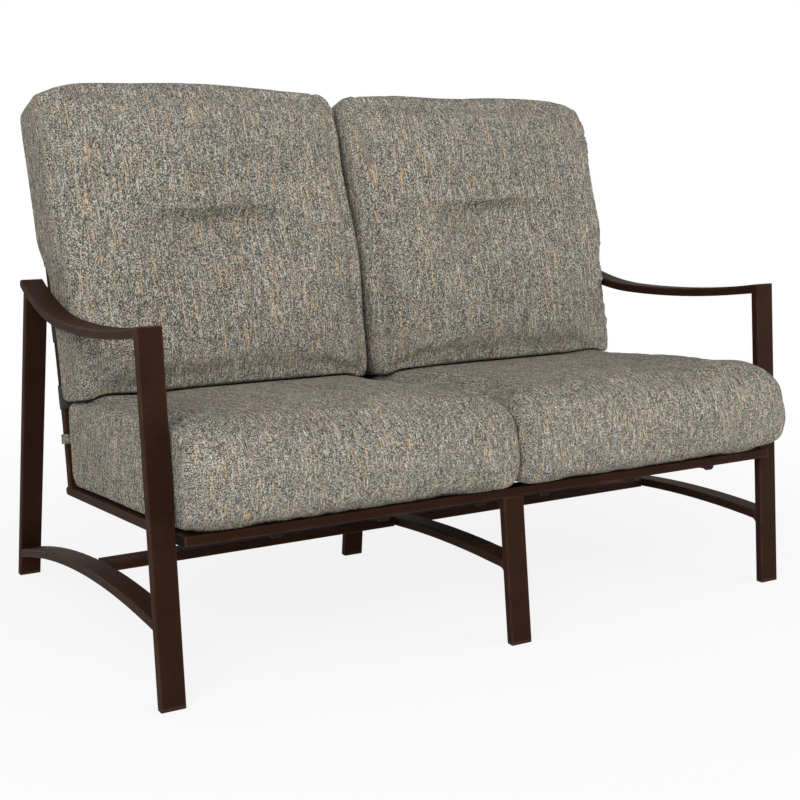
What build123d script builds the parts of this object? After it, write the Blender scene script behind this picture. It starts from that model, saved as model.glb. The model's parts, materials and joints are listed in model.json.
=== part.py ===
from build123d import *
from math import asin, atan2, cos, degrees, radians, sin, sqrt, tan
import os

os.makedirs("parts", exist_ok=True)

# Patio loveseat: X runs across it, -Y is its front, +Z is up.
# The origin is on the floor, midway between the cushion noses and the rear feet. Lengths are in mm.

# Overall sizes
overall_width = 1400.0
overall_depth = 920.0
arm_height = 636.0
arm_rear_height = 654.0
back_frame_height = 890.0

# Flat aluminium tube that the whole frame is made of
bar_width = 45.0
bar_thick = 18.0
bar_wall = 2.0
bar_edge = 3.0
bar_inner_edge = 1.0

# Fits and running clearances
plug_fit = 0.2
strap_fit = 0.15
stud_fit = 0.2
cushion_fit = 0.5
overrun = 6.0

# Arm frames
foot_setback = 45.0
front_leg_run = 57.0
rear_leg_angle = 14.0
arm_dip = 36.0
arm_dip_share = 0.615
arm_overhang = 17.0
arm_gap = 3.0

# Curved stretchers between the feet
stretcher_crown_height = 156.0
stretcher_crown_setback = 170.0
stretcher_rear_height = 64.0
stretcher_flare = 12.0
centre_crown_height = 161.0
centre_crown_setback = 100.0
centre_rear_height = 115.0

# Straight cross bar between the stretchers
cross_bar_setback = 422.0
cross_bar_slot = 4.0
cross_bar_slot_share = 0.17

# Seat frame, which slopes down to the rear
seat_height = 295.0
seat_setback = 43.0
rear_reach = 237.0
seat_slope = 4.84
rail_tail = 4.0
plug_flange = 2.0
plug_depth = 12.0

# Middle legs
centre_front_run = 35.0
centre_rear_run = 22.0

# Back frame, which reclines more towards its top
recline_low = 7.0
recline_high = 20.0

# Feet
foot_height = 5.0
foot_edge = 1.5

# Webbing and its clips
strap_width = 50.0
strap_thick = 2.0
strap_drop = 14.0
strap_return = 20.0
seat_strap_shares = (0.12, 0.46, 0.8)
low_strap_shares = (0.46, 0.8)
high_strap_shares = (0.28, 0.7)
clip_plate = 3.0
clip_width = 25.0
clip_lip = 4.0
clip_lip_narrow = 14.0
clip_setback = 1.0

# Ties of the seat cushions round the back posts
tie_height = 20.0
tie_thick = 1.5
tie_tail = 5.0
tie_share = 0.15
centre_tie_share = 0.13
centre_tie_step_share = 0.05

# Fasteners between the arms and the frame
stud_radius = 4.0
stud_reach = 6.0
spacer_radius = 7.0
bolt_head_radius = 6.5
bolt_head_height = 4.0

# Seat cushions
seat_cushion_height = 166.0
seat_cushion_crown = 15.0
seat_cushion_corner = 22.0
seat_cushion_side_gap = 4.0
cushion_middle_gap = 3.0
nose_bulge = 5.0
nose_foot_radius = 30.0
nose_brow_radius = 62.0
seat_inset = 15.0
seat_station_shares = (0, 0.01, 0.03, 0.065, 0.11, 0.18, 0.28, 0.39, 0.5)
seat_inset_shares = (1, 0.58, 0.25, 0.05, 0, 0, 0, 0, 0)
seat_crown_shares = (0.15, 0.22, 0.32, 0.46, 0.6, 0.76, 0.9, 0.98, 1)

# Back cushions
back_cushion_height = 608.0
back_cushion_thick = 120.0
back_cushion_crown = 26.0
back_cushion_side = 5.0
back_cushion_side_gap = 3.0
back_inset = 24.0
back_station_shares = (0, 0.025, 0.08, 0.18, 0.3, 0.42, 0.52, 0.6, 0.68, 0.78, 0.86, 0.93, 0.98, 1)
back_inset_shares = (0.6, 0.28, 0.08, 0.02, 0, 0, 0.02, 0.04, 0.02, 0.01, 0.05, 0.2, 0.55, 1)
back_crown_shares = (0.15, 0.45, 0.75, 0.95, 1, 0.9, 0.65, 0.45, 0.65, 0.9, 0.9, 0.7, 0.4, 0.15)
back_tilt_shares = (0.4, 0.4, 0.36, 0.28, 0.15, 0.05, 0, 0, 0, 0, 0, 0, 0, 0)

# Positions that follow from the sizes above
front_y = -overall_depth / 2
rear_y = overall_depth / 2
front_foot_y = front_y + foot_setback
arm_x = (bar_width - overall_width) / 2
arm_inner_x = bar_width - overall_width / 2
frame_side_x = arm_inner_x + arm_gap
side_rail_x = frame_side_x + bar_width / 2
post_inner_x = frame_side_x + bar_width

front_leg_angle = degrees(atan2(front_leg_run, arm_height))
arm_corner = (front_foot_y + front_leg_run, arm_height)

slope = radians(seat_slope)
seat_front_y = front_y + seat_setback
seat_frame_depth = overall_depth - seat_setback - rear_reach


def save(piece, name):
    piece.part.label = name
    export_step(piece.part, f"parts/{name}.step")


def save_pair(left, name):
    """Write a left piece and its mirror image."""
    save(left, "left_" + name)
    with BuildPart() as right:
        mirror(left.part, about=Plane.YZ)
    save(right, "right_" + name)


def bar_section(grow=0):
    """Hollow tube section, its width along the sketch's x."""
    RectangleRounded(bar_width, bar_thick, bar_edge)
    RectangleRounded(
        bar_width - 2 * bar_wall, bar_thick - 2 * bar_wall, bar_inner_edge, mode=Mode.SUBTRACT
    )


def shank_section():
    """Solid section that slides into the tube's bore."""
    shank_width = bar_width - 2 * bar_wall - 2 * plug_fit
    RectangleRounded(shank_width, bar_thick - 2 * bar_wall - 2 * plug_fit, bar_inner_edge)


def sweep_bar(path):
    """Tube along a path in a side plane."""
    with BuildSketch(Plane(origin=path @ 0, x_dir=(1, 0, 0), z_dir=path % 0)) as section:
        bar_section()
    sweep(section.sketch, path=path)


def leg_base(x, foot_y, angle):
    """Plane square to a straight leg, on its centre line at the floor. foot_y is its front face."""
    lean = radians(angle)
    centre_y = foot_y + bar_thick / 2 / cos(lean)
    return Plane(origin=(x, centre_y, 0), x_dir=(1, 0, 0), z_dir=(0, sin(lean), cos(lean)))


def leg_face(base, side):
    """Plane of a leg's front (side -1) or rear (side 1) face, its normal out of the leg."""
    out = base.y_dir * side
    return Plane(origin=base.origin + out * bar_thick / 2, x_dir=(1, 0, 0), z_dir=out)


def extrude_leg(base, height):
    """Tube from above the foot cap to past the given height."""
    with BuildSketch(base.offset(-bar_thick)) as section:
        bar_section()
    extrude(section.sketch, amount=height / base.z_dir.Z + 2 * bar_thick)
    split(bisect_by=Plane.XY.offset(foot_height), keep=Keep.TOP)


def foot_cap(base):
    """Cap under a leg, with a shank up its bore and a rounded lower rim."""
    with BuildPart() as cap:
        with BuildSketch(base.offset(-bar_thick)):
            RectangleRounded(bar_width, bar_thick, bar_edge)
        extrude(amount=2 * bar_thick + foot_height)
        split(bisect_by=Plane.XY.offset(foot_height), keep=Keep.BOTTOM)
        split(bisect_by=Plane.XY, keep=Keep.TOP)
        fillet(cap.faces().sort_by(Axis.Z)[0].edges(), radius=foot_edge)
        with BuildSketch(base.offset(foot_height / 2)):
            shank_section()
        extrude(amount=foot_height / 2 + plug_depth)
    return cap


def round_cap(end):
    """Half-round cap on a tube's end. The plane's normal points out of the tube."""
    with BuildPart() as cap:
        with BuildSketch(Plane(origin=end.origin, x_dir=end.z_dir, z_dir=end.x_dir)):
            with BuildLine():
                CenterArc((0, 0), bar_thick / 2, -90, 180)
                Line((0, bar_thick / 2), (0, -bar_thick / 2))
            make_face()
        extrude(amount=bar_width / 2, both=True)
        fillet(cap.edges().filter_by(GeomType.CIRCLE), radius=bar_edge)
        with BuildSketch(end):
            shank_section()
        extrude(amount=-plug_depth)
    return cap


def side_axis_hole(x, y, z, depth):
    """Round hole along X for a stud, drilled from x away from the middle of the loveseat."""
    with Locations(Plane(origin=(x, y, z), x_dir=(0, 1, 0), z_dir=(1, 0, 0))):
        Hole(stud_radius + stud_fit, depth=depth)


# Places on the sloping seat frame


def seat_point(x, along, above):
    """Point by its distance behind the front rail's face and its height square to the seat."""
    return Vector(
        x,
        seat_front_y + along * cos(slope) + above * sin(slope),
        seat_height - along * sin(slope) + above * cos(slope),
    )


def seat_section(x):
    """Plane across the seat: its x runs rearwards along the seat, its y square to the seat."""
    return Plane(origin=seat_point(x, 0, 0), x_dir=(0, cos(slope), -sin(slope)), z_dir=(1, 0, 0))


def seat_level(above):
    """Plane parallel to the seat."""
    return Plane(origin=seat_point(0, 0, above), x_dir=(1, 0, 0), z_dir=(0, sin(slope), cos(slope)))


def seat_cross(x, along, above):
    """Plane square to the front-to-back direction of the seat, its normal rearwards."""
    return Plane(
        origin=seat_point(x, along, above), x_dir=(1, 0, 0), z_dir=(0, cos(slope), -sin(slope))
    )


# Places on the back frame. Its posts follow an arc whose centre is behind the loveseat.

post_foot_angle = radians(recline_low - seat_slope)
post_foot = seat_point(0, seat_frame_depth - bar_thick / 2 / cos(post_foot_angle), 0)
back_rise = sin(radians(recline_high)) - sin(radians(recline_low))
back_radius = (back_frame_height - post_foot.Z) / back_rise
back_centre_y = post_foot.Y + back_radius * cos(radians(recline_low))
back_centre_z = post_foot.Z - back_radius * sin(radians(recline_low))


def back_angle(z, forward=0):
    """Recline in degrees where the back's arc, moved forward, reaches the height z."""
    return degrees(asin((z - back_centre_z) / (back_radius + forward)))


def back_point(x, angle, forward=0):
    turn = radians(angle)
    return Vector(
        x,
        back_centre_y - (back_radius + forward) * cos(turn),
        back_centre_z + (back_radius + forward) * sin(turn),
    )


def back_plane(x, angle, forward=0):
    """Plane square to the back at a recline angle: its y points rearwards."""
    turn = radians(angle)
    return Plane(
        origin=back_point(x, angle, forward), x_dir=(1, 0, 0), z_dir=(0, sin(turn), cos(turn))
    )


def post_angle(share, low=post_foot.Z, high=back_frame_height):
    """Recline angle at a share of the height between two levels on the posts."""
    return back_angle(low + share * (high - low))


# Arm frame: front leg and armrest, mitred at the corner

front_base = leg_base(arm_x, front_foot_y, front_leg_angle)
rear_face_run = tan(radians(rear_leg_angle))
rear_foot_front_y = rear_y - bar_thick / cos(radians(rear_leg_angle))
rear_base = leg_base(arm_x, rear_foot_front_y, -rear_leg_angle)

arm_low_z = arm_height - arm_dip
arm_rear_y = rear_y - arm_rear_height * rear_face_run + arm_overhang
arm_dip_run = arm_dip_share * (arm_rear_y - arm_corner[0])
arm_low_y = arm_corner[0] + arm_dip_run
arm_rise = arm_rear_height - arm_low_z
arm_rise_run = arm_rear_y - arm_low_y
arm_front_radius = (arm_dip_run**2 + arm_dip**2) / (2 * arm_dip)
arm_rear_radius = (arm_rise_run**2 + arm_rise**2) / (2 * arm_rise)
arm_front_sweep = degrees(asin(arm_dip_run / arm_front_radius))
arm_rear_sweep = degrees(asin(arm_rise_run / arm_rear_radius))
arm_lead = degrees(overrun / arm_front_radius)


def armrest_z(y, below):
    """Height of the armrest's rear arc at y, a given depth below its top face."""
    reach = arm_rear_radius + below
    return arm_low_z + arm_rear_radius - sqrt(reach**2 - (y - arm_low_y) ** 2)


leg_down = Vector(0, -sin(radians(front_leg_angle)), -cos(radians(front_leg_angle)))
arm_back = Vector(0, cos(radians(arm_front_sweep)), -sin(radians(arm_front_sweep)))
mitre = Plane(origin=(arm_x, *arm_corner), x_dir=(1, 0, 0), z_dir=arm_back - leg_down)

rail_mid = seat_point(0, bar_width / 2, -bar_thick / 2)
stud_y = front_base.origin.Y + rail_mid.Z * tan(radians(front_leg_angle))
stud_z = rail_mid.Z - (stud_y - rail_mid.Y) * tan(slope)

# The post passes the armrest's inner side where its bolt goes through
bolt_y = arm_rear_y
for _ in range(8):
    bolt_z = armrest_z(bolt_y, bar_thick / 2)
    bolt_y = back_point(0, back_angle(bolt_z)).Y

with BuildPart() as left_front_leg:
    extrude_leg(front_base, arm_height)
    split(bisect_by=mitre, keep=Keep.BOTTOM)
    side_axis_hole(arm_inner_x, stud_y, stud_z, bar_wall + overrun)
save_pair(left_front_leg, "front_leg")

with BuildLine(Plane.YZ.offset(arm_x)) as armrest_path:
    CenterArc(
        (arm_low_y, arm_low_z + arm_front_radius),
        arm_front_radius + bar_thick / 2,
        270 - arm_front_sweep - arm_lead,
        arm_front_sweep + arm_lead,
    )
    CenterArc(
        (arm_low_y, arm_low_z + arm_rear_radius),
        arm_rear_radius + bar_thick / 2,
        270,
        arm_rear_sweep,
    )
armrest_end = Plane(
    origin=armrest_path.line @ 1, x_dir=(1, 0, 0), z_dir=armrest_path.line % 1
)

with BuildPart() as left_armrest:
    sweep_bar(armrest_path.line)
    split(bisect_by=mitre, keep=Keep.TOP)
    side_axis_hole(arm_inner_x, bolt_y, bolt_z, bar_wall + overrun)
save_pair(left_armrest, "armrest")
save_pair(round_cap(armrest_end), "armrest_cap")

# Rear leg, its top cut to the slope of the armrest's underside
leg_top_y = rear_base.origin.Y - (arm_rear_height - bar_thick) * rear_face_run
leg_top_z = armrest_z(leg_top_y, bar_thick)
underside = Plane(
    origin=(arm_x, leg_top_y, leg_top_z),
    x_dir=(1, 0, 0),
    z_dir=(0, arm_low_y - leg_top_y, arm_low_z + arm_rear_radius - leg_top_z),
)

with BuildPart() as left_rear_leg:
    extrude_leg(rear_base, arm_rear_height)
    split(bisect_by=underside, keep=Keep.BOTTOM)
save_pair(left_rear_leg, "rear_leg")

# Curved stretchers, cut to the faces of the legs that they join


def curved_stretcher(x, crown_y, crown_z, rear_z, front_leg, rear_leg):
    """Tube on one arc: level near the front leg, falling to rear_z at the rear leg's face."""
    front_cut = leg_face(front_leg, 1)
    rear_cut = leg_face(rear_leg, -1)
    rear_lean = -rear_leg.z_dir.Y / rear_leg.z_dir.Z
    rear_end_y = rear_cut.origin.Y - (rear_z - rear_cut.origin.Z) * rear_lean
    front_lean = front_leg.z_dir.Y / front_leg.z_dir.Z
    front_end_y = front_cut.origin.Y + (crown_z - bar_thick - front_cut.origin.Z) * front_lean
    run = rear_end_y - crown_y
    drop = crown_z - rear_z
    radius = (run**2 + drop**2) / (2 * drop)
    centre_z = crown_z - radius
    front_sweep = degrees(asin((crown_y - front_end_y + 2 * bar_thick) / radius))
    rear_sweep = degrees(asin((run + bar_thick) / radius))
    under_z = centre_z + sqrt((radius - bar_thick) ** 2 - (crown_y - front_end_y) ** 2)
    toe = Vector(0, -front_leg.z_dir.Y, -front_leg.z_dir.Z) * stretcher_flare
    corner = Vector(0, front_end_y, under_z)
    heel_y = front_end_y + stretcher_flare
    heel_z = centre_z + sqrt((radius - bar_thick) ** 2 - (crown_y - heel_y) ** 2)
    with BuildLine(Plane.YZ.offset(x)) as path:
        CenterArc(
            (crown_y, centre_z), radius - bar_thick / 2, 90 + front_sweep, -front_sweep - rear_sweep
        )
    with BuildPart() as tube:
        sweep_bar(path.line)
        with BuildSketch(Plane.YZ.offset(x)):
            with BuildLine():
                web = TangentArc(
                    (heel_y, heel_z),
                    (corner.Y + toe.Y, corner.Z + toe.Z),
                    tangent=(front_end_y - heel_y, under_z - heel_z),
                )
                Polyline(
                    web @ 1,
                    (corner.Y - bar_wall, corner.Z + bar_wall / 2),
                    (heel_y, heel_z + bar_wall / 2),
                    web @ 0,
                )
            make_face()
        extrude(amount=bar_width / 2 - bar_edge, both=True)
        split(bisect_by=front_cut, keep=Keep.TOP)
        split(bisect_by=rear_cut, keep=Keep.TOP)
    return tube, centre_z, radius


side_crown_y = front_foot_y + stretcher_crown_setback
left_stretcher, side_centre_z, side_radius = curved_stretcher(
    arm_x, side_crown_y, stretcher_crown_height, stretcher_rear_height, front_base, rear_base
)
save_pair(left_stretcher, "side_stretcher")

# Middle legs under the front and rear rails, with their own curved stretcher

rail_bottom_front = seat_point(0, 0, -bar_thick)
centre_front_angle = degrees(atan2(centre_front_run, rail_bottom_front.Z))
centre_front_base = leg_base(0, rail_bottom_front.Y - centre_front_run, centre_front_angle)
rear_rail_under = seat_point(0, seat_frame_depth - bar_width / 2, -bar_thick)
centre_rear_angle = -degrees(atan2(centre_rear_run, rear_rail_under.Z))
centre_rear_foot_y = rear_rail_under.Y + centre_rear_run - bar_thick / 2
centre_rear_base = leg_base(0, centre_rear_foot_y, centre_rear_angle)

with BuildPart() as centre_front_leg:
    extrude_leg(centre_front_base, seat_height)
    split(bisect_by=seat_level(-bar_thick), keep=Keep.BOTTOM)
save(centre_front_leg, "centre_front_leg")

with BuildPart() as centre_rear_leg:
    extrude_leg(centre_rear_base, seat_height)
    split(bisect_by=seat_level(-bar_thick), keep=Keep.BOTTOM)
save(centre_rear_leg, "centre_rear_leg")

centre_stretcher, centre_centre_z, centre_radius = curved_stretcher(
    0,
    front_foot_y + centre_crown_setback,
    centre_crown_height,
    centre_rear_height,
    centre_front_base,
    centre_rear_base,
)
save(centre_stretcher, "centre_stretcher")

# Cross bar in two halves, level with the stretchers, with a slot along its top
cross_bar_y = front_foot_y + cross_bar_setback
cross_bar_top = side_centre_z + sqrt(side_radius**2 - (cross_bar_y - side_crown_y) ** 2)
cross_bar_length = -arm_inner_x - bar_width / 2

with BuildPart() as left_cross_bar:
    with BuildSketch(Plane.YZ.offset(arm_inner_x)):
        with Locations((cross_bar_y, cross_bar_top - bar_thick / 2)):
            bar_section()
        with Locations((cross_bar_y - cross_bar_slot_share * bar_width, cross_bar_top)):
            Rectangle(cross_bar_slot, 3 * bar_wall, mode=Mode.SUBTRACT)
    extrude(amount=cross_bar_length)
save_pair(left_cross_bar, "cross_bar")

# Seat frame

rail_half_length = -frame_side_x - plug_flange

with BuildPart() as seat_front_rail:
    with BuildSketch(seat_section(-rail_half_length)):
        with Locations((bar_width / 2, -bar_thick / 2)):
            bar_section()
    extrude(amount=2 * rail_half_length)
save(seat_front_rail, "seat_front_rail")

with BuildPart() as left_front_rail_plug:
    with BuildSketch(seat_section(frame_side_x)):
        with Locations((bar_width / 2, -bar_thick / 2)):
            RectangleRounded(bar_width, bar_thick, bar_edge)
    extrude(amount=plug_flange)
    with BuildSketch(seat_section(frame_side_x)):
        with Locations((bar_width / 2, -bar_thick / 2)):
            shank_section()
    extrude(amount=plug_flange + plug_depth)
    side_axis_hole(frame_side_x + plug_flange + plug_depth, stud_y, stud_z, 2 * bar_width)
save_pair(left_front_rail_plug, "front_rail_plug")

with BuildPart() as left_seat_rail:
    with BuildSketch(seat_cross(side_rail_x, bar_width, -bar_thick / 2)):
        bar_section()
    extrude(amount=seat_frame_depth + rail_tail - bar_width)
save_pair(left_seat_rail, "seat_side_rail")
side_rail_end = seat_cross(side_rail_x, seat_frame_depth + rail_tail, -bar_thick / 2)
save_pair(round_cap(side_rail_end), "seat_rail_cap")

with BuildPart() as seat_rear_rail:
    with BuildSketch(seat_section(post_inner_x)):
        with Locations((seat_frame_depth - bar_width / 2, -bar_thick / 2)):
            bar_section()
    extrude(amount=-2 * post_inner_x)
save(seat_rear_rail, "seat_rear_rail")

with BuildPart() as seat_centre_rail:
    with BuildSketch(seat_cross(0, bar_width, -bar_thick / 2)):
        bar_section()
    extrude(amount=seat_frame_depth - 2 * bar_width)
save(seat_centre_rail, "seat_centre_rail")

# Back frame: curved posts, mitred to the top rail

half_rail_turn = degrees(bar_width / 2 / back_radius)
top_rail_angle = recline_high - half_rail_turn
top_rail_turn = radians(top_rail_angle)
rail_up = Vector(0, sin(top_rail_turn), cos(top_rail_turn))
top_corner = back_point(frame_side_x, top_rail_angle) + rail_up * bar_width / 2
left_top_mitre = Plane(
    origin=top_corner, x_dir=(0, -rail_up.Z, rail_up.Y), z_dir=Vector(1, 0, 0) + rail_up
)
right_top_mitre = Plane(
    origin=(-top_corner.X, top_corner.Y, top_corner.Z),
    x_dir=(0, -rail_up.Z, rail_up.Y),
    z_dir=rail_up - Vector(1, 0, 0),
)
top_rail_under = back_plane(0, top_rail_angle).offset(-bar_width / 2)


def back_post(x, top_cut):
    """Curved tube that stands on the seat frame and ends at the given plane."""
    with BuildLine(Plane.YZ.offset(x)) as path:
        lead = degrees(overrun / back_radius)
        CenterArc(
            (back_centre_y, back_centre_z),
            back_radius,
            180 - recline_low + lead,
            recline_low - recline_high - 2 * lead,
        )
    with BuildPart() as post:
        sweep_bar(path.line)
        split(bisect_by=seat_level(0), keep=Keep.TOP)
        split(bisect_by=top_cut, keep=Keep.BOTTOM)
    return post


left_post = back_post(side_rail_x, left_top_mitre)
with BuildPart() as left_back_post:
    add(left_post.part)
    side_axis_hole(post_inner_x + overrun, bolt_y, bolt_z, 2 * bar_width)
save_pair(left_back_post, "back_post")
save(back_post(0, top_rail_under), "centre_back_post")

with BuildPart() as back_top_rail:
    with BuildSketch(
        Plane(origin=back_point(frame_side_x, top_rail_angle), x_dir=rail_up, z_dir=(1, 0, 0))
    ):
        bar_section()
    extrude(amount=-2 * frame_side_x)
    split(bisect_by=left_top_mitre, keep=Keep.TOP)
    split(bisect_by=right_top_mitre, keep=Keep.TOP)
save(back_top_rail, "back_top_rail")

# Foot caps

save_pair(foot_cap(front_base), "front_foot")
save_pair(foot_cap(rear_base), "rear_foot")
save(foot_cap(centre_front_base), "centre_front_foot")
save(foot_cap(centre_rear_base), "centre_rear_foot")

# Seat webbing runs front to back between the rails and hangs on clips under them

strap_start = bar_width + clip_plate
strap_end = seat_frame_depth - bar_width - clip_plate
strap_places = [side * share * -post_inner_x for side in (-1, 1) for share in seat_strap_shares]


def seat_strap(x):
    """Band level with the rails' tops, its two ends folded down against the clips."""
    with BuildPart() as strap:
        with BuildSketch(seat_section(x - strap_width / 2)):
            with Locations((strap_start, 0)):
                Rectangle(strap_end - strap_start, strap_thick, align=(Align.MIN, Align.MAX))
                Rectangle(strap_thick, strap_drop, align=(Align.MIN, Align.MAX))
            with Locations((strap_end, 0)):
                Rectangle(strap_thick, strap_drop, align=(Align.MAX, Align.MAX))
        extrude(amount=strap_width)
    return strap


for number, place in enumerate(sorted(strap_places), start=1):
    save(seat_strap(place), f"seat_strap_{number}")

clip_under = -bar_thick - clip_plate
with BuildPart() as strap_clips:
    for place in strap_places:
        with BuildSketch(seat_section(place - clip_width / 2)):
            with Locations((clip_setback, clip_under)):
                Rectangle(
                    strap_start - clip_setback, clip_plate, align=(Align.MIN, Align.MIN)
                )
            with Locations((bar_width, clip_under)):
                Rectangle(clip_plate, bar_thick, align=(Align.MIN, Align.MIN))
        extrude(amount=clip_width)
        with BuildSketch(seat_cross(place, clip_setback, clip_under)):
            with BuildLine():
                Polyline(
                    (-clip_width / 2, 0),
                    (-clip_lip_narrow / 2, clip_lip),
                    (clip_lip_narrow / 2, clip_lip),
                    (clip_width / 2, 0),
                    close=True,
                )
            make_face()
        extrude(amount=clip_plate)
    mirror(about=seat_cross(0, seat_frame_depth / 2, 0))
save(strap_clips, "strap_clips")

# Back webbing runs across the posts, its ends wrapped round the outer two


def back_strap(angle):
    """Band across the front of the posts, returned round their outer sides."""
    post_front = bar_thick / 2 + strap_fit
    outer = -frame_side_x + strap_fit
    with BuildPart() as strap:
        with BuildSketch(back_plane(0, angle).offset(-strap_width / 2)):
            with Locations((0, -post_front)):
                Rectangle(2 * (outer + strap_thick), strap_thick, align=(Align.CENTER, Align.MAX))
            for side, edge in ((-1, Align.MIN), (1, Align.MAX)):
                with Locations((side * (outer + strap_thick), -post_front)):
                    Rectangle(strap_thick, 2 * post_front, align=(edge, Align.MIN))
                with Locations((side * (outer + strap_thick), post_front)):
                    Rectangle(strap_return, strap_thick, align=(edge, Align.MIN))
        extrude(amount=strap_width)
    return strap


strap_angles = [post_angle(share, high=bolt_z) for share in low_strap_shares]
strap_angles += [post_angle(share, low=bolt_z) for share in high_strap_shares]
for number, angle in enumerate(strap_angles, start=1):
    save(back_strap(angle), f"back_strap_{number}")

# Fabric ties of the seat cushions round the posts


def cushion_tie(x, share, tail):
    """Closed band round a post. A tail of folded cloth stands out from its outer side."""
    inner_width = bar_width + 2 * strap_fit
    inner_depth = bar_thick + 2 * strap_fit
    with BuildSketch(back_plane(x, post_angle(share)).offset(-tie_height / 2)) as band:
        RectangleRounded(inner_width + 2 * tie_thick, inner_depth + 2 * tie_thick, bar_edge)
        if tail:
            with Locations((-inner_width / 2 - tie_thick, 0)):
                Rectangle(2 * tail, 2 * tie_thick)
        Rectangle(inner_width, inner_depth, mode=Mode.SUBTRACT)
    extrude(band.sketch, amount=tie_height)


with BuildPart() as left_tie:
    cushion_tie(side_rail_x, tie_share, tie_tail)
save_pair(left_tie, "cushion_tie")
with BuildPart() as centre_ties:
    cushion_tie(0, centre_tie_share, 0)
    cushion_tie(0, centre_tie_share + centre_tie_step_share, 0)
save(centre_ties, "centre_cushion_ties")

# Spacers, studs and bolts that hold the arms to the seat and back frames

with BuildPart() as spacers:
    for y, z in ((stud_y, stud_z), (bolt_y, bolt_z)):
        with BuildSketch(Plane.YZ.offset(arm_inner_x)):
            with Locations((y, z)):
                Circle(spacer_radius)
                Circle(stud_radius + stud_fit, mode=Mode.SUBTRACT)
        extrude(amount=arm_gap)
    mirror(about=Plane.YZ)
save(spacers, "arm_spacers")

with BuildPart() as studs:
    with BuildSketch(Plane.YZ.offset(arm_inner_x - stud_reach)):
        with Locations((stud_y, stud_z)):
            Circle(stud_radius)
    extrude(amount=stud_reach + arm_gap + plug_flange + plug_depth)
    mirror(about=Plane.YZ)
save(studs, "arm_studs")

with BuildPart() as bolts:
    with BuildSketch(Plane.YZ.offset(arm_inner_x - stud_reach)):
        with Locations((bolt_y, bolt_z)):
            Circle(stud_radius)
    extrude(amount=stud_reach + arm_gap + bar_width)
    with BuildSketch(Plane.YZ.offset(post_inner_x)):
        with Locations((bolt_y, bolt_z)):
            Circle(bolt_head_radius)
    extrude(amount=bolt_head_height)
    mirror(about=Plane.YZ)
save(bolts, "arm_bolts")

# Seat cushions: lofted across their width through side profiles with a crowned top and a full nose

seat_back_along = seat_frame_depth - bar_thick / cos(post_foot_angle) - cushion_fit
nose_mid = cushion_fit + (seat_cushion_height - nose_brow_radius + nose_foot_radius) / 2
nose_along = (front_y - seat_front_y - nose_mid * sin(slope)) / cos(slope)


def seat_profile(x, inset, crown):
    """Closed side profile of a seat cushion, drawn in by inset."""
    bottom = cushion_fit + inset
    top = cushion_fit + seat_cushion_height - inset
    back = seat_back_along - inset
    corner = seat_cushion_corner
    bend_share = 1 - cos(radians(45))
    bend = corner * bend_share
    nose = nose_along + inset + nose_bulge
    foot_bend = nose_foot_radius * bend_share
    brow_bend = nose_brow_radius * bend_share
    foot = (nose + nose_foot_radius, bottom)
    shin = (nose, bottom + nose_foot_radius)
    cheek = (nose, top - nose_brow_radius)
    brow = (nose + nose_brow_radius, top)
    with BuildSketch(seat_section(x)) as profile:
        with BuildLine():
            Line(foot, (back - corner, bottom))
            ThreePointArc(
                (back - corner, bottom), (back - bend, bottom + bend), (back, bottom + corner)
            )
            Line((back, bottom + corner), (back, top - corner))
            ThreePointArc((back, top - corner), (back - bend, top - bend), (back - corner, top))
            ThreePointArc((back - corner, top), ((back + brow[0]) / 2, top + crown), brow)
            ThreePointArc(brow, (nose + brow_bend, top - brow_bend), cheek)
            ThreePointArc(cheek, (nose - nose_bulge, (cheek[1] + shin[1]) / 2), shin)
            ThreePointArc(shin, (nose + foot_bend, bottom + foot_bend), foot)
        make_face()
    return profile.sketch


def seat_cushion(first_x, last_x):
    """Whole cushion from the stations of its first half and their mirror images."""
    half = list(zip(seat_station_shares, seat_inset_shares, seat_crown_shares))
    other = [(1 - share, inset, crown) for share, inset, crown in reversed(half[:-1])]
    profiles = []
    for share, inset, crown in half + other:
        x = first_x + share * (last_x - first_x)
        profiles.append(seat_profile(x, inset * seat_inset, crown * seat_cushion_crown))
    with BuildPart() as cushion:
        loft(profiles)
    return cushion


save_pair(
    seat_cushion(arm_inner_x + seat_cushion_side_gap, -cushion_middle_gap / 2), "seat_cushion"
)

# Back cushions: lofted up the recline through plan profiles. The crown sinks at the pulled-in crease.

cushion_rear = bar_thick / 2 + strap_fit + strap_thick + cushion_fit
seat_top = seat_point(0, seat_back_along - seat_cushion_corner, seat_cushion_height + 2 * cushion_fit)
cushion_low_angle = back_angle(seat_top.Z + cushion_fit, cushion_rear)
back_cushion_x = (arm_inner_x + back_cushion_side_gap - cushion_middle_gap / 2) / 2
back_cushion_half = -cushion_middle_gap / 2 - back_cushion_x


def back_profile(share, inset, crown, tilt):
    """Closed plan profile of a back cushion: flat behind, crowned in front and at its sides."""
    angle = cushion_low_angle + degrees(share * back_cushion_height / back_radius)
    turn = radians(angle - tilt)
    level = Plane(
        origin=back_point(back_cushion_x, angle), x_dir=(1, 0, 0), z_dir=(0, sin(turn), cos(turn))
    )
    half = back_cushion_half - back_cushion_side - inset
    rear = -cushion_rear - inset / 2
    front = -cushion_rear - back_cushion_thick + inset / 2
    middle = (rear + front) / 2
    side = half + back_cushion_side
    with BuildSketch(level) as profile:
        with BuildLine():
            Line((-half, rear), (half, rear))
            ThreePointArc((half, rear), (side, middle), (half, front))
            ThreePointArc((half, front), (0, front - crown), (-half, front))
            ThreePointArc((-half, front), (-side, middle), (-half, rear))
        make_face()
    return profile.sketch


seat_tilt = cushion_low_angle - seat_slope
back_profiles = [
    back_profile(share, inset * back_inset, crown * back_cushion_crown, tilt * seat_tilt)
    for share, inset, crown, tilt in zip(
        back_station_shares, back_inset_shares, back_crown_shares, back_tilt_shares
    )
]
with BuildPart() as left_back_cushion:
    loft(back_profiles)
save_pair(left_back_cushion, "back_cushion")
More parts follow.
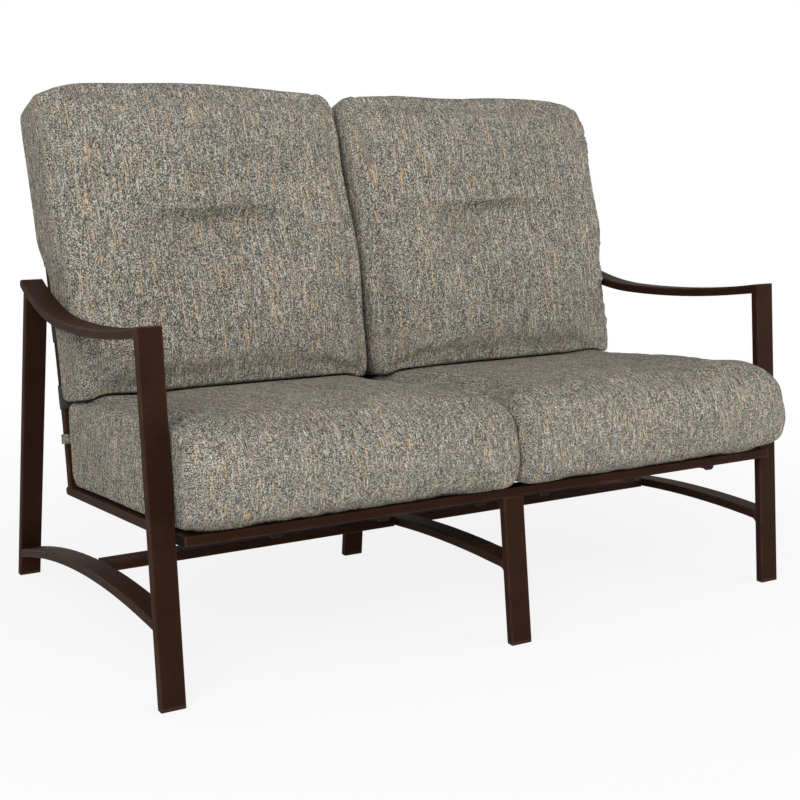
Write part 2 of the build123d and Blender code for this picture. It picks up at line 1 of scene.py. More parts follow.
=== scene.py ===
import json
import math

import bmesh
import bpy
import numpy as np
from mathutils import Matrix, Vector
from mathutils.bvhtree import BVHTree


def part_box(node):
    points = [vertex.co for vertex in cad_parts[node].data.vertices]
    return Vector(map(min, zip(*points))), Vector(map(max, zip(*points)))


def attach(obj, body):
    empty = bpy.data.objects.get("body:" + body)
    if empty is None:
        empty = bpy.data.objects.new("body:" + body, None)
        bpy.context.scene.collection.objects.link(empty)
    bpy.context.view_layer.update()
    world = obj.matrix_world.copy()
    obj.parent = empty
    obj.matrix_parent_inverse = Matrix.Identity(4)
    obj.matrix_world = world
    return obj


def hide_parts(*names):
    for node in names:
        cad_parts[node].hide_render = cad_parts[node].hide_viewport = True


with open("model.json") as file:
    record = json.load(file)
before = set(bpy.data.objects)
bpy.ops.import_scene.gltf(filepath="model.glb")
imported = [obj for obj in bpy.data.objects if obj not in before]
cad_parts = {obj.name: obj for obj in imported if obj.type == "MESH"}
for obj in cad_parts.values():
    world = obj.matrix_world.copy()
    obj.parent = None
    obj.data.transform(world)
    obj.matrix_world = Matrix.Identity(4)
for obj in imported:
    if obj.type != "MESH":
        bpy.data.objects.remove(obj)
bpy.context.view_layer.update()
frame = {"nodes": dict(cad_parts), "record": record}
nodes = frame["nodes"]
scene = bpy.context.scene

WHITE = (1, 1, 1, 1)

# The seat and the arc of the back posts, as the CAD source sets them, in metres
SLOPE = math.radians(4.84)  # fall of the seat towards the back
SEAT_ORIGIN = Vector((0, -0.417, 0.295))  # front end of the seat plane
SEAT_RUN = 0.640  # along the seat, to the rear face of the posts
HALF_TUBE = 0.009
BACK_HEIGHT = 0.890
LEAN_FOOT = math.radians(7)
LEAN_TOP = math.radians(20)

# Room for the cushions, in metres
ARM_INNER = 0.655
MIDDLE = 0.0007  # of the gap between left and right
SEAT_SIDE = ARM_INNER - 0.0035
SEAT_REAR = 0.6205
SEAT_REST = 0.0006  # above the seat plane
BACK_SIDE = 0.6533
BACK_LIMIT = 0.6535  # beside the arm
OUTER_LIMIT = 0.676  # above the arm, and ahead of the front leg
BACK_REST = 0.0117  # in front of the posts' arc


# Materials


class Graph:
    """Short way to write the nodes of a material or world."""

    def __init__(self, owner, output="OutputMaterial"):
        owner.use_nodes = True
        self.owner = owner
        self.tree = owner.node_tree
        self.tree.nodes.clear()
        self.out = self.node(output)

    def node(self, kind, inputs=None, **props):
        """New node with its inputs set or linked."""
        n = self.tree.nodes.new("ShaderNode" + kind)
        for k, v in props.items():
            setattr(n, k, v)
        for k, v in (inputs or {}).items():
            if isinstance(v, bpy.types.NodeSocket):
                self.tree.links.new(v, n.inputs[k])
            else:
                n.inputs[k].default_value = v
        return n

    def put(self, kind, inputs=None, out=0, **props):
        """One output of a new node."""
        return self.node(kind, inputs, **props).outputs[out]

    def place(self):
        """Position on the object, in metres."""
        return self.put("TexCoord", out=3)

    def math(self, op, a, b=0.0):
        return self.put("Math", {0: a, 1: b}, operation=op)

    def noise(self, at, scale, detail, **more):
        return self.put("TexNoise", {"Vector": at, "Scale": scale, "Detail": detail, **more})

    def blend(self, fac, a, b):
        """Number between a and b."""
        return self.put("Mix", {0: fac, 2: a, 3: b}, data_type="FLOAT")

    def mix(self, fac, a, b, blend="MIX"):
        """Colour between a and b."""
        return self.put("Mix", {0: fac, 6: a, 7: b}, out=2, data_type="RGBA", blend_type=blend)

    def darken(self, colour, gain):
        """Colour times a number."""
        grey = self.put("CombineColor", {0: gain, 1: gain, 2: gain})
        return self.mix(1.0, colour, grey, "MULTIPLY")

    def ramp(self, fac, stops):
        """Colour at fac between stops of position and colour."""
        n = self.node("ValToRGB", {0: fac})
        els = n.color_ramp.elements
        while len(els) < len(stops):
            els.new(0.5)
        for e, (pos, col) in zip(els, stops):
            e.position = pos
            e.color = (*col, 1)
        return n.outputs[0]

    def span(self, v, lo, hi, to_lo=0.0, to_hi=1.0):
        """Smooth step from to_lo at lo to to_hi at hi."""
        ends = {0: v, 1: lo, 2: hi, 3: to_lo, 4: to_hi}
        return self.put("MapRange", ends, interpolation_type="SMOOTHSTEP")

    def surface(self, shader):
        self.tree.links.new(shader, self.out.inputs[0])

    def bsdf(self, **inputs):
        """Principled shader. An underscore in a key stands for a space."""
        self.surface(self.put("BsdfPrincipled", {k.replace("_", " "): v for k, v in inputs.items()}))


def new_graph(name):
    return Graph(bpy.data.materials.new(name))


# Colours of the tweed's yarns: of the grain, the tints over it, the crosswise and lengthwise yarns
GRAIN = [
    (0.0, (0.008, 0.0085, 0.009)),
    (0.30, (0.045, 0.045, 0.043)),
    (0.52, (0.165, 0.154, 0.132)),
    (0.74, (0.40, 0.37, 0.315)),
    (0.90, (0.70, 0.66, 0.58)),
    (1.0, (0.92, 0.90, 0.85)),
]
TINTS = [
    (0.0, (0.62, 0.86, 1.02)),
    (0.35, (0.84, 0.88, 0.87)),
    (0.7, (0.96, 0.90, 0.80)),
    (1.0, (1.20, 0.92, 0.62)),
]
WEFTS = [
    (0.0, (0.03, 0.033, 0.035)),
    (0.5, (0.17, 0.164, 0.149)),
    (1.0, (0.50, 0.475, 0.425)),
]
WARPS = [
    (0.0, (0.03, 0.032, 0.034)),
    (0.35, (0.12, 0.113, 0.098)),
    (0.7, (0.23, 0.205, 0.165)),
    (1.0, (0.50, 0.44, 0.35)),
]
TAN = (0.62, 0.40, 0.21, 1)
PALE = (0.60, 0.60, 0.57, 1)
DARK = (0.060, 0.068, 0.075, 1)


def tweed(name, shift, tone=1.04, face=(0.0, 0.0, 0.0, 1.0)):
    """Slubbed tweed. Threads run up and down on the fronts, front to back on the tops.

    shift: moves the pattern across its threads, so that no two pieces match.
    face: the front's depth at height 0, its lean, and the heights where it turns under and over.
    """
    g = new_graph(name)
    at = g.place()
    x, y, z = g.node("SeparateXYZ", {0: at}).outputs
    normal_x = g.put("SeparateXYZ", {0: g.put("NewGeometry", out=1)})
    side = g.span(g.math("ABSOLUTE", normal_x), 0.62, 0.8)
    # across the threads: x on fronts and tops, y on the sides, a little wavy
    wave = g.math("MULTIPLY", g.math("SUBTRACT", g.noise(at, 6.0, 1.0), 0.5), 0.004)
    across = g.math("ADD", g.math("ADD", g.blend(side, x, y), wave), shift)
    # along the threads: the height, run on over the top and under the bottom
    front_y, lean, low, high = face
    behind = g.math("SUBTRACT", g.math("SUBTRACT", y, front_y), g.math("MULTIPLY", z, lean))
    over, under = g.span(z, high - 0.14, high - 0.02), g.span(z, low + 0.10, low + 0.02)
    wrapped = g.math("ADD", z, g.math("MULTIPLY", behind, g.math("SUBTRACT", over, under)))
    along = g.blend(side, wrapped, z)

    def cells(width, length, seed):
        """Random value per bit of yarn of the given width and length in metres."""
        col = g.math("FLOOR", g.math("DIVIDE", across, width))
        stagger = g.put("TexWhiteNoise", {"W": g.math("ADD", col, seed)}, noise_dimensions="1D")
        row = g.math("FLOOR", g.math("ADD", g.math("DIVIDE", along, length), stagger))
        vec = g.put("CombineXYZ", {0: col, 1: row, 2: seed})
        return g.put("TexWhiteNoise", {"Vector": vec}, noise_dimensions="3D")

    fine = cells(0.0014, 0.0019, 1.7)
    tint = cells(0.0022, 0.0022, 4.3)
    weft = cells(0.0032, 0.0014, 9.1)
    warp = cells(0.0022, 0.024, 3.9)
    long_slub = cells(0.0020, 0.042, 5.3)
    short_slub = cells(0.0022, 0.015, 7.9)
    base = g.mix(1.0, g.ramp(fine, GRAIN), g.ramp(tint, TINTS), "MULTIPLY")
    base = g.mix(0.14, base, g.ramp(weft, WEFTS))
    base = g.mix(0.20, base, g.ramp(warp, WARPS))
    # the thickest yarns stand out, broken along their length
    broken = g.noise(at, 260.0, 2.0)
    tan = g.math("MULTIPLY", g.math("GREATER_THAN", long_slub, 0.94), g.span(broken, 0.42, 0.54))
    pale = g.math("MULTIPLY", g.math("GREATER_THAN", short_slub, 0.965), g.span(broken, 0.40, 0.5))
    dark = g.math("LESS_THAN", short_slub, 0.05)
    for mask, cover, colour in ((tan, 0.85, TAN), (pale, 0.6, PALE), (dark, 0.35, DARK)):
        base = g.mix(g.math("MULTIPLY", mask, cover), base, colour)
    # soft streaks and patches, as the yarns vary along their length
    stretched = {0: g.math("MULTIPLY", across, 120.0), 1: g.math("MULTIPLY", along, 9.0)}
    streak = g.span(g.noise(g.put("CombineXYZ", stretched), 1.0, 3.0), 0.25, 0.75, 0.93, 1.13)
    patch = g.span(g.noise(at, 5.0, 2.0), 0.3, 0.7, -0.05, 0.05)
    base = g.darken(base, g.math("MULTIPLY", g.math("ADD", streak, patch), tone))
    slubs = g.math("MULTIPLY", g.math("ADD", tan, pale), 0.5)
    ridge = g.math("ADD", g.math("MULTIPLY", fine, 0.6), slubs)
    height = g.math("ADD", ridge, g.math("MULTIPLY", g.noise(at, 900.0, 2.0), 0.5))
    bump = g.put("Bump", {"Strength": 0.4, "Distance": 0.0006, "Height": height})
    g.bsdf(Base_Color=base, Roughness=0.93, Normal=bump, Specular_IOR_Level=0.1)
    return g.owner


def powder_coat(name, colour, speck_and_highlight, rough, grain=1.0):
    """Dark textured coat, its rounded edges painted lighter as a painted highlight with a little
    wear. grain: strength of its texture.
    """
    g = new_graph(name)
    at = g.place()
    grains = g.noise(at, 620.0, 3.0, Roughness=0.6)
    cloud = g.noise(at, 14.0, 3.0)
    # an edge is where the rounded normal turns away from the true one
    rounded = g.put("Bevel", {"Radius": 0.0035}, samples=4)
    turns = {0: rounded, 1: g.put("NewGeometry", out=1)}
    edge = g.span(g.put("VectorMath", turns, "Value", operation="DOT_PRODUCT"), 0.995, 0.93)
    edge = g.math("MULTIPLY", edge, g.span(cloud, 0.35, 0.65, 0.55, 1.0))
    speck = g.span(grains, 0.55, 0.75)
    base = g.mix(g.math("MULTIPLY", speck, 0.35), (*colour, 1), (*speck_and_highlight, 1))
    # painted highlight: the rounded edges are lightened, in patches like a little wear
    base = g.mix(g.math("MULTIPLY", edge, 0.85), base, (*speck_and_highlight, 1))
    base = g.darken(base, g.span(cloud, 0.3, 0.7, 0.9, 1.1))
    bump = g.put("Bump", {"Strength": 0.35 * grain, "Distance": 0.0004, "Height": grains})
    g.bsdf(
        Base_Color=base,
        Roughness=g.span(grains, 0.3, 0.7, rough - 0.06, rough + 0.08),
        Normal=bump,
        Specular_IOR_Level=0.05,
        Specular_Tint=(1.0, 0.6, 0.42, 1.0),
    )
    return g.owner


def webbing(name):
    """Ribbed elastic webbing."""
    g = new_graph(name)
    at = g.place()
    ribs = {"Vector": at, "Scale": 160.0, "Distortion": 0.6, "Detail": 1.0}
    rib = g.put("TexWave", ribs, out=1, bands_direction="DIAGONAL")
    base = g.ramp(rib, [(0.0, (0.010, 0.0095, 0.009)), (1.0, (0.032, 0.030, 0.028))])
    fluff = g.math("MULTIPLY", g.noise(at, 420.0, 2.0), 0.25)
    base = g.mix(fluff, base, (0.05, 0.047, 0.044, 1))
    bump = g.put("Bump", {"Strength": 0.5, "Distance": 0.0005, "Height": rib})
    g.bsdf(Base_Color=base, Roughness=0.85, Normal=bump)
    return g.owner


# second colour of each coat: its specks, and the painted highlight on its rounded edges
BROWN, BROWN_SPECK_AND_HIGHLIGHT = (0.0255, 0.0112, 0.0070), (0.125, 0.060, 0.038)
FOOT, FOOT_SPECK_AND_HIGHLIGHT = (0.034, 0.019, 0.0135), (0.09, 0.05, 0.035)
BLACK, BLACK_SPECK_AND_HIGHLIGHT = (0.012, 0.0105, 0.010), (0.03, 0.027, 0.025)
STEEL, STEEL_SPECK_AND_HIGHLIGHT = (0.03, 0.024, 0.02), (0.10, 0.085, 0.07)
SEAT_FACE = (-0.49, 0.0, 0.30, 0.46)
BACK_FACE = (-0.11, 0.32, 0.44, 1.03)
mats = {
    "frame": powder_coat("frame_coat", BROWN, BROWN_SPECK_AND_HIGHLIGHT, rough=0.58),
    "feet": powder_coat("foot_plastic", FOOT, FOOT_SPECK_AND_HIGHLIGHT, rough=0.55, grain=0.7),
    "plastic": powder_coat("black_plastic", BLACK, BLACK_SPECK_AND_HIGHLIGHT, rough=0.5, grain=0.6),
    "fasteners": powder_coat("dark_steel", STEEL, STEEL_SPECK_AND_HIGHLIGHT, rough=0.38, grain=0.3),
    "webbing": webbing("elastic_webbing"),
    "ties": tweed("tie_tweed", 0.31, tone=0.988),
    "seat_left": tweed("seat_tweed_left", 1.9, face=SEAT_FACE),
    "seat_right": tweed("seat_tweed_right", 2.613, face=SEAT_FACE),
    "back_left": tweed("back_tweed_left", 3.117, face=BACK_FACE),
    "back_right": tweed("back_tweed_right", 3.731, face=BACK_FACE),
}

slots = {s["node"]: s["material_slot"] for s in frame["record"]["subparts"]}
for name, ob in nodes.items():
    if slots[name] in mats:
        ob.data.materials.clear()
        ob.data.materials.append(mats[slots[name]])


# Meshes


def to_np(mesh):
    co = np.empty(len(mesh.vertices) * 3)
    mesh.vertices.foreach_get("co", co)
    return co.reshape(-1, 3)


def normals_np(mesh):
    no = np.empty(len(mesh.vertices) * 3)
    mesh.vertex_normals.foreach_get("vector", no)
    return no.reshape(-1, 3)


def set_np(mesh, co):
    mesh.vertices.foreach_set("co", co.ravel())
    mesh.update()


def work_copy(source):
    """Object of its own with a copy of the source's mesh."""
    ob = bpy.data.objects.new("work", source.data.copy())
    scene.collection.objects.link(ob)
    return ob


def evaluated(ob):
    """New mesh of an object with its modifiers applied."""
    dg = bpy.context.evaluated_depsgraph_get()
    return bpy.data.meshes.new_from_object(ob.evaluated_get(dg))


def remesh(ob, voxel):
    mod = ob.modifiers.new("remesh", "REMESH")
    mod.mode, mod.voxel_size = "VOXEL", voxel


def piece(name, mesh, mat, body, node):
    """Smooth object that rides a body and stands for a node of the CAD model."""
    ob = bpy.data.objects.new(name, mesh)
    scene.collection.objects.link(ob)
    mesh.materials.clear()
    mesh.materials.append(mat)
    mesh.polygons.foreach_set("use_smooth", [True] * len(mesh.polygons))
    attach(ob, body)
    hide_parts(node)
    return ob


def mirrored(mesh):
    """Copy of a mesh, mirrored left to right."""
    copy = mesh.copy()
    co = to_np(copy)
    co[:, 0] *= -1
    set_np(copy, co)
    bm = bmesh.new()
    bm.from_mesh(copy)
    bmesh.ops.reverse_faces(bm, faces=bm.faces)
    bm.to_mesh(copy)
    bm.free()
    return copy


def tree_of(mesh):
    """Search tree of a mesh, for ray casts."""
    faces = [tuple(p.vertices) for p in mesh.polygons]
    return BVHTree.FromPolygons([v.co for v in mesh.vertices], faces)


# Stuffing of the cushions by a cloth simulation

VOXEL = 0.007
SHRINK = 0.001  # what the skin is drawn in before it is puffed up
HELD_CORNERS = 0.9  # share of any inward movement that is taken back
SIM_FRAMES = 20
CLOTH = {
    "quality": 4,
    "mass": 0.3,
    "tension_stiffness": 18,
    "compression_stiffness": 18,
    "shear_stiffness": 6,
    "bending_stiffness": 2.0,
    "use_pressure": True,
    "uniform_pressure_force": 4.0,
}


def puffed_up(ob, rest, normal, cap):
    """Points of the skin under pressure, none moved more than cap."""
    mod = ob.modifiers.new("cloth", "CLOTH")
    for key, value in CLOTH.items():
        setattr(mod.settings, key, value)
    mod.settings.effector_weights.gravity = 0
    mod.collision_settings.use_collision = False
    mod.collision_settings.use_self_collision = False
    for f in range(1, SIM_FRAMES + 1):
        scene.frame_set(f)
    puffed = evaluated(ob)
    move = to_np(puffed) - rest
    bpy.data.meshes.remove(puffed)
    size = np.linalg.norm(move, axis=1, keepdims=True)
    move *= np.minimum(1.0, cap / np.maximum(size, 1e-9))
    outwards = (move * normal).sum(axis=1, keepdims=True)
    move -= normal * np.minimum(outwards, 0) * HELD_CORNERS
    ob.modifiers.clear()
    scene.frame_set(1)
    return rest + move


def stuffed(source, cap):
    """New mesh: the skin of a solid, remeshed and puffed up by at most cap."""
    ob = work_copy(source)
    remesh(ob, VOXEL)
    mesh = evaluated(ob)
    ob.modifiers.clear()
    ob.data = mesh
    rest = to_np(mesh)
    rest -= normals_np(mesh) * SHRINK
    set_np(mesh, rest)
    normal = normals_np(mesh)
    set_np(mesh, puffed_up(ob, rest, normal, cap))
    sub = ob.modifiers.new("sub", "SUBSURF")
    sub.levels = sub.render_levels = 1
    done = evaluated(ob)
    bpy.data.objects.remove(ob)
    return done


# Shaping of the cushions


def smooth_step(v, lo, hi):
    t = np.clip((v - lo) / (hi - lo), 0, 1)
    return t * t * (3 - 2 * t)


def bell(v, width):
    return np.exp(-((v / width) ** 2))


def squared(away, reach, keep):
    """Distance from a face, drawn in towards it within reach, so that a corner gets tighter."""
    return away * (keep + (1 - keep) * smooth_step(away, 0, reach))


def lumps(co, seed, size, amount):
    """Smooth unevenness of the filling, from five waves of about the given size."""
    rng = np.random.default_rng(seed)
    out = np.zeros(len(co))
    for _ in range(5):
        k = rng.normal(size=3)
        k *= (0.7 + 0.6 * rng.random()) * 2 * math.pi / size / np.linalg.norm(k)
        out += np.sin(co @ k + rng.random() * 6.28)
    return out * amount / 2.2


def sew(co, no, away, width, deep):
    """Draws the skin in along a seam. away: distance from the seam."""
    co -= no * (bell(away, width) * deep)[:, None]


def relaxed(mesh, co, weight, rounds):
    """Points drawn towards the mean of their neighbours, where weight is above 0."""
    ends = np.empty(len(mesh.edges) * 2, dtype=np.int32)
    mesh.edges.foreach_get("vertices", ends)
    a, b = ends.reshape(-1, 2).T
    near, count = np.concatenate((a, b)), np.bincount(ends, minlength=len(co))
    other = np.concatenate((b, a))
    for _ in range(rounds):
        total = np.stack([np.bincount(near, co[other, i], len(co)) for i in range(3)], axis=1)
        co = co + (total / count[:, None] - co) * (0.5 * weight)[:, None]
    return co


def to_seat(co):
    """Distance along the seat from its front end, and height square to the seat plane."""
    d = co - np.array(SEAT_ORIGIN)
    along = d[:, 1] * math.cos(SLOPE) - d[:, 2] * math.sin(SLOPE)
    above = d[:, 1] * math.sin(SLOPE) + d[:, 2] * math.cos(SLOPE)
    return along, above


def from_seat(along, above):
    """Y and Z of what to_seat gives."""
    y = SEAT_ORIGIN.y + along * math.cos(SLOPE) + above * math.sin(SLOPE)
    z = SEAT_ORIGIN.z - along * math.sin(SLOPE) + above * math.cos(SLOPE)
    return y, z


def post_arc():
    """Radius and centre, in Y and Z, of the arc that the back posts follow."""
    run = SEAT_RUN - HALF_TUBE / math.cos(LEAN_FOOT - SLOPE)
    foot_y, foot_z = from_seat(run, 0)
    radius = (BACK_HEIGHT - foot_z) / (math.sin(LEAN_TOP) - math.sin(LEAN_FOOT))
    return radius, foot_y + radius * math.cos(LEAN_FOOT), foot_z - radius * math.sin(LEAN_FOOT)


ARC_R, ARC_Y, ARC_Z = post_arc()


def to_back(co):
    """Angle up the posts' arc, and distance in front of it."""
    y, z = co[:, 1] - ARC_Y, co[:, 2] - ARC_Z
    return np.arctan2(z, -y), np.hypot(y, z) - ARC_R


def from_back(angle, depth):
    """Y and Z of what to_back gives."""
    return ARC_Y - (ARC_R + depth) * np.cos(angle), ARC_Z + (ARC_R + depth) * np.sin(angle)


def shape_seat(mesh, sign, seed):
    """Seat cushion: flat where it rests, full nose and outer side, seams along its sides.

    sign: -1 on the left and 1 on the right. u grows outwards, towards the arm.
    """
    co, no = to_np(mesh), normals_np(mesh)
    co += no * lumps(co, seed, size=0.22, amount=0.0016)[:, None]
    along, above = to_seat(co)
    u = sign * co[:, 0]
    # a fuller outer side
    aside = np.maximum(SEAT_SIDE - u, 0)
    fuller = SEAT_SIDE - squared(aside, reach=0.07, keep=0.4)
    u = np.where((u > 0.4) & (aside > 0), fuller, u)
    # the outer top edge stands nearly as high as the middle
    edge_lift = 0.011
    above += edge_lift * smooth_step(u, 0.50, 0.645) * smooth_step(above, 0.07, 0.14)
    # the nose lifts off the front rail
    nose_lift = 0.0105 * smooth_step(0.032 - along, 0, 0.05) * smooth_step(u, 0.0, 0.12)
    above += nose_lift * (1 - smooth_step(above, 0, 0.11))
    # its corner spreads ahead of the front leg
    spread = 0.018
    co[:, 0] = sign * (u + spread * smooth_step(u, 0.60, 0.655) * smooth_step(-along, 0.004, 0.045))
    co[:, 1], co[:, 2] = from_seat(along, above)
    sides = smooth_step(np.abs(no[:, 0]), 0.35, 0.75)
    for seam_height in (0.146, 0.016):
        sew(co, no, above - seam_height, 0.0026, 0.0016 * sides)
    # within the room that the frame leaves
    along, above = to_seat(co)
    along = np.minimum(along, SEAT_REAR)
    co[:, 1], co[:, 2] = from_seat(along, np.maximum(above, SEAT_REST))
    limit = np.where(along > -0.006, SEAT_SIDE, OUTER_LIMIT)
    co[:, 0] = sign * np.clip(sign * co[:, 0], MIDDLE, limit)
    set_np(mesh, co)


PAD_CENTRE = 0.327
CREASE_SHARE = 0.585  # of the back cushion's height
TOP_RISE = {-1: 0.012, 1: -0.008}  # the right cushion sits lower


def shape_back(mesh, sign, seed, seat_tree):
    """Back cushion: crease above the middle, arched top, full outer side, seam round the front.

    sign: -1 on the left and 1 on the right. w grows outwards from the cushion's centre.
    seat_tree: the seat cushion that it rests on.
    """
    co, no = to_np(mesh), normals_np(mesh)
    co += no * lumps(co, seed, size=0.25, amount=0.0022)[:, None]
    angle, _ = to_back(co)
    share = (angle - angle.min()) / (angle.max() - angle.min())
    w = sign * co[:, 0] - PAD_CENTRE
    # the front is pulled in under the crease's line, full over it, and dented further down
    under = CREASE_SHARE + 0.006 * np.sin(w * 9 + seed) - share
    below = np.maximum(under, 0) / 0.07
    pull = 0.028 * below * np.exp(1 - below)
    crest = 0.009 * bell(under + 0.012, 0.045)
    dent = 0.007 * bell(under - 0.06, 0.06) * bell(w - 0.02, 0.10)
    reach = 1 - smooth_step(np.abs(w - 0.005), 0.06, 0.20)
    front = smooth_step(-no[:, 1], 0.15, 0.6)
    co -= no * (front * (reach * (pull - crest) + dent))[:, None]
    # the top makes a low arch and falls off to its corners
    arch = TOP_RISE[sign] * np.clip(1 - (np.abs(w - 0.05) / 0.36) ** 2.4, 0, 1)
    arch -= 0.026 * smooth_step(w, 0.23, 0.345) + 0.008 * smooth_step(-w, 0.12, 0.33)
    arch *= smooth_step(share, 0.78, 1.0)
    co[:, 1] += arch * math.sin(LEAN_TOP)
    co[:, 2] += arch * math.cos(LEAN_TOP)
    # the outer side is a full, nearly flat panel with a tight rear corner
    facing = smooth_step(sign * no[:, 0], 0.3, 0.75) * smooth_step(w, 0.2, 0.3)
    co[:, 0] += sign * (BACK_SIDE - np.abs(co[:, 0])) * facing * 0.85
    angle, depth = to_back(co)
    rear = np.maximum(depth - BACK_REST, 0)
    aside = np.maximum(BACK_SIDE - sign * co[:, 0], 0)
    nearer = squared(aside, reach=0.07, keep=0.15 + 0.45 * smooth_step(rear, 0.04, 0.09))
    tighter = squared(rear, reach=0.06, keep=1 - 0.85 * smooth_step(w, 0.18, 0.29))
    outer_part = w > 0.1
    co[:, 0] = np.where(outer_part, sign * (BACK_SIDE - nearer), co[:, 0])
    depth = np.where(outer_part, BACK_REST + tighter, depth)
    co[:, 1], co[:, 2] = from_back(angle, depth)
    co = relaxed(mesh, co, weight=smooth_step(w, 0.2, 0.29), rounds=14)
    # it swells over the arm
    swell = 0.016 * smooth_step(co[:, 2], 0.645, 0.74) * smooth_step(w, 0.14, 0.32)
    co[:, 0] += sign * swell
    front_seam = 0.118
    sew(co, no, depth - front_seam, 0.0028, 0.0015 * smooth_step(1 - np.abs(no[:, 1]), 0.25, 0.6))
    # within the room that the frame leaves
    angle, depth = to_back(co)
    co[:, 1], co[:, 2] = from_back(angle, np.maximum(depth, BACK_REST))
    above_arm = smooth_step(co[:, 2], 0.656, 0.70)
    limit = BACK_LIMIT + (OUTER_LIMIT - BACK_LIMIT) * above_arm
    co[:, 0] = sign * np.clip(sign * co[:, 0], MIDDLE, limit)
    rest_on(co, np.nonzero(share < 0.2)[0], seat_tree)
    set_np(mesh, co)


def rest_on(co, which, tree):
    """Eases the given points up, so that none goes below the surface under it."""
    room, gap = 0.014, 0.0004
    above_seats = 0.75
    for i in which:
        x, y, z = co[i]
        hit = tree.ray_cast(Vector((x, y, above_seats)), Vector((0, 0, -1)))[0]
        if hit is not None and z < hit.z + room:
            co[i, 2] = hit.z + gap + room * math.exp((z - hit.z - room) / room)


pads = {}
for kind, cap in (("seat", 0.014), ("back", 0.016)):
    left = stuffed(nodes[f"left_{kind}_cushion"], cap)
    pads[kind] = {"left": left, "right": mirrored(left)}
for side, sign in (("left", -1), ("right", 1)):
    shape_seat(pads["seat"][side], sign, 3 + sign)
    shape_back(pads["back"][side], sign, 11 + sign, tree_of(pads["seat"][side]))
    for kind in ("seat", "back"):
        node = f"{side}_{kind}_cushion"
        mat = mats[f"{kind}_{side}"]
        ob = piece(f"{side}_{kind}_pad", pads[kind][side], mat, node, node)


# Straps and ties

STRAP_THICK = 0.0018
STRAP_COLUMNS = 5


def ribbon(name, path, width_at, across, node):
    """Strap along a path of points, thinner towards its edges.

    width_at: gives the width at a share of the path. across: direction of the width.
    """
    bm = bmesh.new()
    across = Vector(across).normalized()
    last = len(path) - 1
    rings = []
    for i, p in enumerate(path):
        ahead = (path[min(i + 1, last)] - path[max(i - 1, 0)]).normalized()
        out = ahead.cross(across).normalized()
        half = width_at(i / last) / 2
        ring = []
        for level in (1, -1):
            for c in range(STRAP_COLUMNS):
                f = (c / (STRAP_COLUMNS - 1) * 2 - 1) * level
                rise = level * STRAP_THICK / 2 * (1 - 0.35 * abs(f) ** 6)
                ring.append(bm.verts.new(p + across * f * half + out * rise))
        rings.append(ring)
    for a, b in zip(rings, rings[1:]):
        for i in range(len(a)):
            j = (i + 1) % len(a)
            bm.faces.new((a[i], a[j], b[j], b[i]))
    bm.faces.new(rings[0][::-1])
    bm.faces.new(rings[-1])
    bmesh.ops.recalc_face_normals(bm, faces=bm.faces)
    mesh = bpy.data.meshes.new(name)
    bm.to_mesh(mesh)
    bm.free()
    piece(name, mesh, mats["webbing"], "frame", node)


def seat_strap_path(x):
    """Over the front and the rear rail, sagging a little between them, with hanging ends."""
    start, end = 0.049, 0.591  # along the seat
    end_drop, bend_drop, drop = 0.0135, 0.004, 0.0012  # below the seat plane
    turn, sag, steps = 0.003, 0.0022, 24
    run = end - start - 2 * turn
    points = [(start, end_drop), (start, bend_drop), (start + turn, drop)]
    for k in range(1, steps):
        points.append((start + turn + k / steps * run, drop + sag * math.sin(math.pi * k / steps)))
    points += [(end - turn, drop), (end, bend_drop), (end, end_drop)]
    return [Vector((x, *from_seat(along, -down))) for along, down in points]


def back_strap_path(angle):
    """Across the front of the posts at an angle of their arc, and round the outer two."""
    off, wide = 0.01025, 0.653  # from the posts' centre line, and from the loveseat's middle
    turn, steps = 0.003, 40
    rear = Vector((0, math.cos(angle), -math.sin(angle)))
    centre = Vector((0, *from_back(angle, 0)))
    hook = [
        (0.0195 - wide, off),
        (0.008 - wide, off),
        (-wide, off - turn),
        (-wide, turn - off),
        (turn - wide, -off),
    ]
    run = 2 * (wide - turn)
    points = hook + [(turn - wide + k / steps * run, -off) for k in range(1, steps)]
    points += [(-x, back) for x, back in reversed(hook)]
    return [centre + Vector((x, 0, 0)) + rear * back for x, back in points]


for i in range(1, 7):
    node = f"seat_strap_{i}"
    lo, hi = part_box(node)
    path = seat_strap_path((lo[0] + hi[0]) / 2)
    ribbon(f"seat_web_{i}", path, lambda t: 0.0495 - 0.004 * math.sin(math.pi * t), (1, 0, 0), node)

for i in range(1, 5):
    node = f"back_strap_{i}"
    lo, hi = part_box(node)
    angle = math.asin(((lo[2] + hi[2]) / 2 - ARC_Z) / ARC_R)
    up = (0, math.sin(angle), math.cos(angle))
    # widest where it passes the posts
    ribbon(
        f"back_web_{i}",
        back_strap_path(angle),
        lambda t: 0.050 - 0.005 * abs(math.sin(2 * math.pi * t)),
        up,
        node,
    )

for node in ("left_cushion_tie", "right_cushion_tie", "centre_cushion_ties"):
    ob = work_copy(nodes[node])
    remesh(ob, 0.0009)
    mod = ob.modifiers.new("smooth", "SMOOTH")
    mod.factor, mod.iterations = 0.5, 6
    mesh = evaluated(ob)
    bpy.data.objects.remove(ob)
    name = node.replace("cushion_tie", "cloth_loop")
    piece(name, mesh, mats["ties"], "frame", node)


# Camera and lights, fitted to the photograph

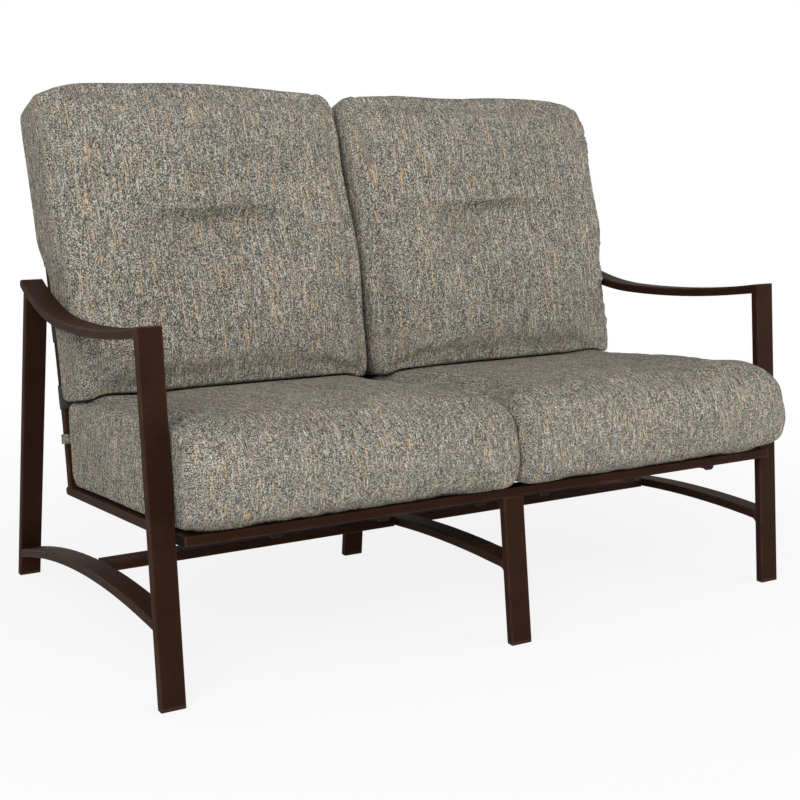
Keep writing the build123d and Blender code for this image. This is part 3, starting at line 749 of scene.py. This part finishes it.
cam_data = bpy.data.cameras.new("camera")
cam_data.sensor_width = 36
cam_data.lens = 61.44
cam = bpy.data.objects.new("camera", cam_data)
cam.location = (-1.4334, -2.4379, 0.9199)
cam.rotation_euler = (math.radians(90 - 10.54), 0, math.radians(-30.45))
scene.collection.objects.link(cam)
scene.camera = cam


def area(name, at, aim_height, size, power):
    """Square lamp that faces the given height over the origin."""
    data = bpy.data.lights.new(name, "AREA")
    data.shape, data.size, data.energy = "SQUARE", size, power
    ob = bpy.data.objects.new(name, data)
    ob.location = at
    aim = Vector((0, 0, aim_height)) - Vector(at)
    ob.rotation_euler = aim.to_track_quat("-Z", "Y").to_euler()
    scene.collection.objects.link(ob)


area("key", (-3.1, -3.1, 2.9), 0.5, size=2.6, power=140)
area("fill", (3.0, -2.6, 1.4), 0.5, size=2.6, power=64)
area("top", (0.2, 0.0, 3.8), 0.4, size=2.4, power=4)


# World and floor


def background_rays(g):
    """1 for the rays that show the background: from the camera, through glass and off gloss."""
    rays = g.node("LightPath").outputs
    plain = g.math("MAXIMUM", rays["Is Camera Ray"], rays["Is Transmission Ray"])
    return g.math("MAXIMUM", plain, rays["Is Glossy Ray"])


world = bpy.data.worlds.new("world")
scene.world = world
g = Graph(world, "OutputWorld")
soft_light = g.put("Background", {0: WHITE, 1: 0.36})
backdrop = g.put("Background", {0: WHITE, 1: 1.0})
g.surface(g.put("MixShader", {0: background_rays(g), 1: soft_light, 2: backdrop}))

bm = bmesh.new()
bmesh.ops.create_grid(bm, x_segments=8, y_segments=8, size=14)
floor_mesh = bpy.data.meshes.new("floor")
bm.to_mesh(floor_mesh)
bm.free()
floor = bpy.data.objects.new("floor", floor_mesh)
floor.location = (0, 0, -0.0002)
scene.collection.objects.link(floor)
g = new_graph("floor_pale")
matt = g.put("BsdfDiffuse", {"Color": (0.86, 0.86, 0.86, 1)})
glow = g.put("Emission", {"Color": WHITE, "Strength": 1.0})
# whiter away from the loveseat, where its shadow has faded
away = g.put("VectorMath", {0: g.put("NewGeometry")}, out=1, operation="LENGTH")
paleness = g.math("MULTIPLY", background_rays(g), g.span(away, 0.7, 2.6, 0.86, 1.0))
g.surface(g.put("MixShader", {0: paleness, 1: matt, 2: glow}))
floor_mesh.materials.append(g.owner)

scene.view_settings.view_transform = "Standard"
